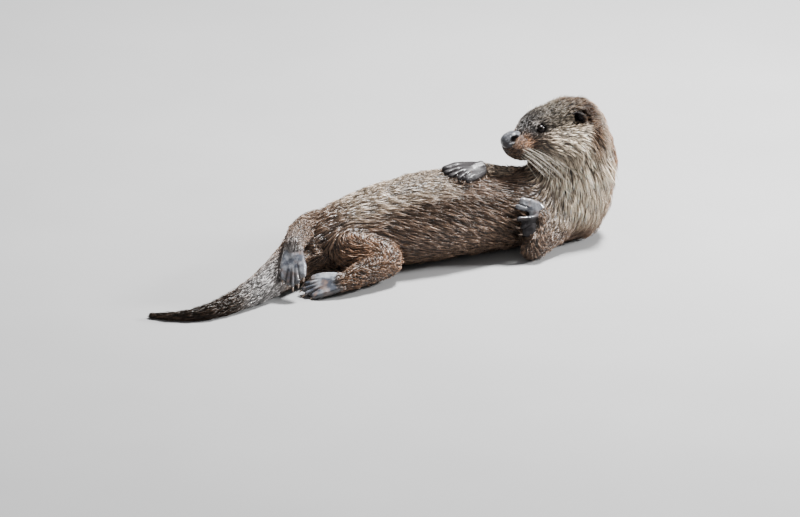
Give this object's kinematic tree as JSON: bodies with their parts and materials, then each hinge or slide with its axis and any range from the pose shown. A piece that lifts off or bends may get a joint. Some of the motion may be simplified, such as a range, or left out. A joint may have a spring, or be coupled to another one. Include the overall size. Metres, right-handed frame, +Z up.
{
  "type": "eurasian otter",
  "caption": "Life-size otter lying on its back, half on its left side, with its head raised, paws on its chest and its tail laid out along the floor.",
  "frame": {"origin": "on the floor, under the middle of the whole model's box", "axes": "+X from the tail to the head along the back, +Z up from the floor; the belly faces up and a little towards -Y"},
  "size_m": [0.6934, 0.1694, 0.1834],
  "materials": {
    "fur": "wet grey-brown coat, short, lying along the body",
    "pale_fur": "pale buff-grey coat of the throat and neck, in wet pointed locks",
    "paw_leather": "bare blue-grey skin of the feet, damp and glossy",
    "nose_leather": "bare pebbled dark skin of the nose, damp",
    "claw_horn": "pale translucent horn",
    "eye": "nearly black wet eye"
  },
  "bodies": {
    "root": {"eye_left": "eye", "eye_right": "eye", "nose": "nose_leather", "head": "fur", "neck": "pale_fur", "belly": "fur", "chest": "fur", "tail_base": "fur", "tail_middle": "fur", "tail_tip": "fur", "thigh_right": "fur", "shank_right": "fur", "upper_arm_right": "fur", "forearm_right": "fur", "forepaw_right": "paw_leather", "claw_fore_right_1": "claw_horn", "claw_fore_right_2": "claw_horn", "claw_fore_right_3": "claw_horn", "claw_fore_right_4": "claw_horn", "claw_fore_right_5": "claw_horn", "hindpaw_right": "paw_leather", "claw_hind_right_1": "claw_horn", "claw_hind_right_2": "claw_horn", "claw_hind_right_3": "claw_horn", "claw_hind_right_4": "claw_horn", "claw_hind_right_5": "claw_horn", "thigh_left": "fur", "shank_left": "fur", "upper_arm_left": "fur", "forearm_left": "fur", "forepaw_left": "paw_leather", "claw_fore_left_1": "claw_horn", "claw_fore_left_2": "claw_horn", "claw_fore_left_3": "claw_horn", "claw_fore_left_4": "claw_horn", "claw_fore_left_5": "claw_horn", "hindpaw_left": "paw_leather", "claw_hind_left_1": "claw_horn", "claw_hind_left_2": "claw_horn", "claw_hind_left_3": "claw_horn", "claw_hind_left_4": "claw_horn", "claw_hind_left_5": "claw_horn", "ear_left": "fur", "ear_right": "fur"}
  },
  "joints": []
}
